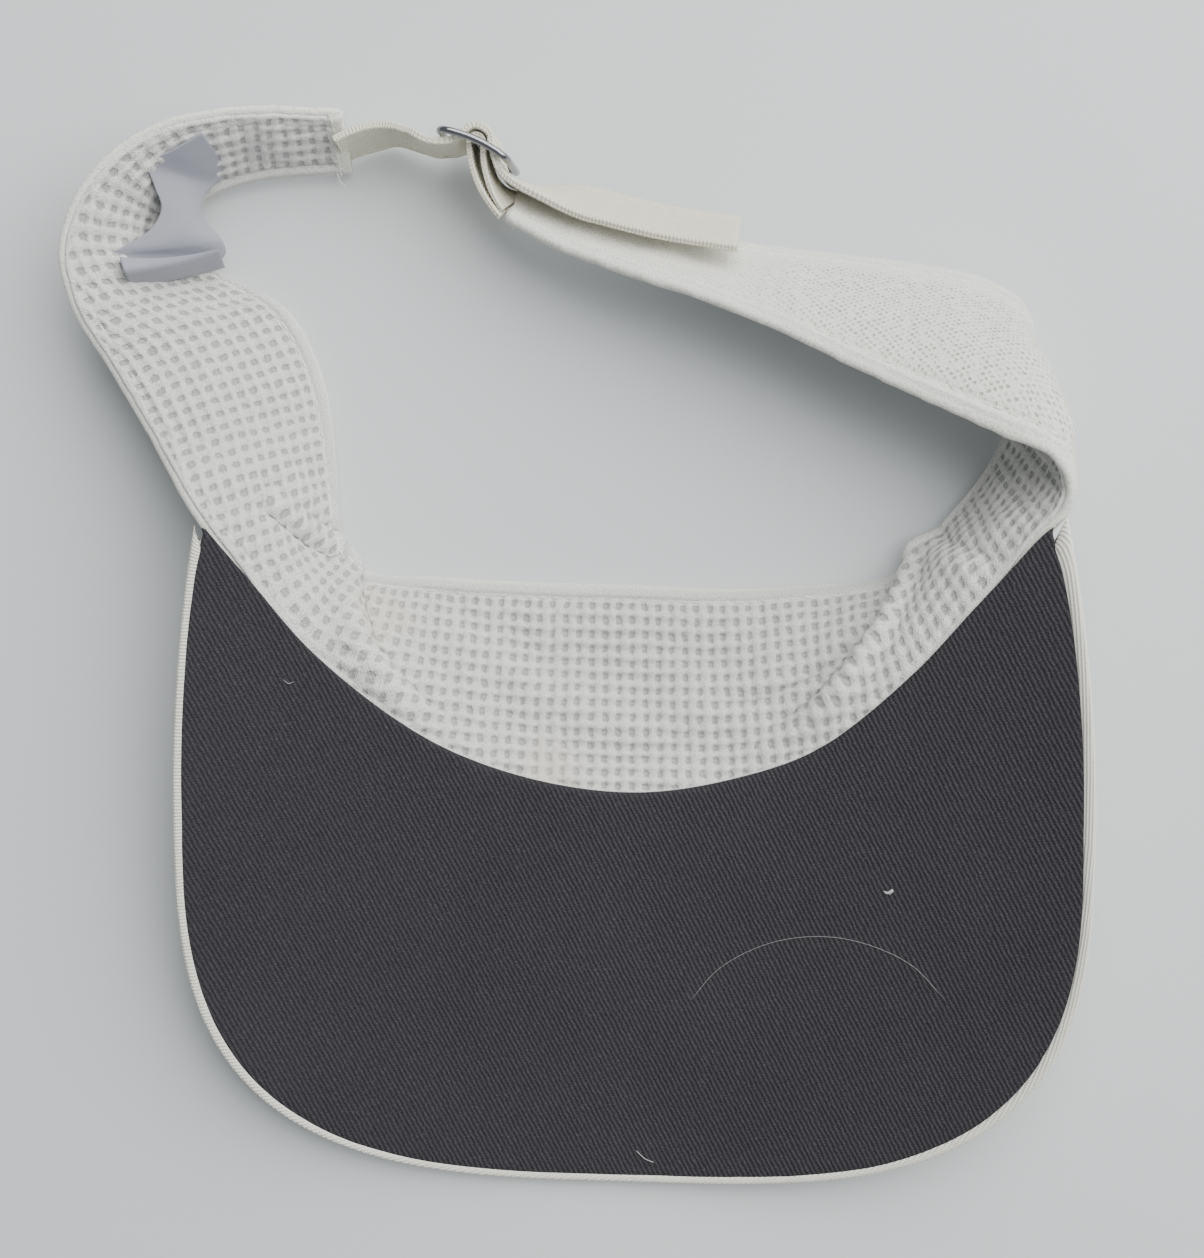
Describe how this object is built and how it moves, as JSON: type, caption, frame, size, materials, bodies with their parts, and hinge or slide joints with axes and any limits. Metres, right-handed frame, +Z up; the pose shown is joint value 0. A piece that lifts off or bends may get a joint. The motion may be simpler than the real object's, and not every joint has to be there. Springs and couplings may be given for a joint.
{
  "type": "sun visor for racket sports",
  "caption": "Sun visor with a curved brim, an open padded head band, an adjuster strap and a wire slide buckle, lying upside down.",
  "frame": {"origin": "on the floor under the middle of the visor's bounding box", "axes": "+X to the viewer's right across the brim, +Y from the brim's front edge to the strap, +Z up, away from the floor the upturned visor lies on"},
  "size_m": [0.2192, 0.2352, 0.0365],
  "materials": {
    "off_white_twill": "off-white cotton twill",
    "charcoal_twill": "charcoal cotton twill",
    "brim_board": "stiff sheet plastic",
    "perforated_cloth": "off-white cloth with rows of pinholes",
    "waffle_lining": "white waffle weave",
    "interlining": "stiff felted interlining",
    "cream_tape": "cream cotton strap",
    "buckle_chrome": "polished wire",
    "satin_label": "blank woven satin"
  },
  "bodies": {
    "visor": {"brim_top_cover": "off_white_twill", "brim_board": "brim_board", "brim_under_cover": "charcoal_twill", "left_side_outer": "perforated_cloth", "left_side_lining": "waffle_lining", "front_outer": "perforated_cloth", "front_lining": "waffle_lining", "right_side_outer": "perforated_cloth", "right_side_lining": "waffle_lining", "front_interlining": "interlining", "left_end_tab": "perforated_cloth", "right_end_tab": "perforated_cloth", "adjuster_strap": "cream_tape", "anchor_loop": "cream_tape", "main_label": "satin_label"},
    "strap_tail": {"strap_tail": "cream_tape"},
    "slide_buckle": {"slide_buckle": "buckle_chrome"},
    "care_label": {"care_label": "satin_label"}
  },
  "joints": [
    {"name": "tail_pull", "type": "slide", "parent": "visor", "child": "strap_tail", "axis": [0.97, -0.243, 0.012], "range_m": [0, 0.012]},
    {"name": "buckle_swivel", "type": "hinge", "parent": "visor", "child": "slide_buckle", "pos_m": [-0.02098, 0.11005, 0.0124], "axis": [-0.0994, -0.0398, 0.9943], "range_deg": [-4, 4]},
    {"name": "care_label_flap", "type": "hinge", "parent": "visor", "child": "care_label", "pos_m": [-0.1, 0.0708, 0.0208], "axis": [0.8088, 0.3393, -0.4803], "range_deg": [-10, 10], "stiffness_Nm_per_rad": 0.001}
  ]
}
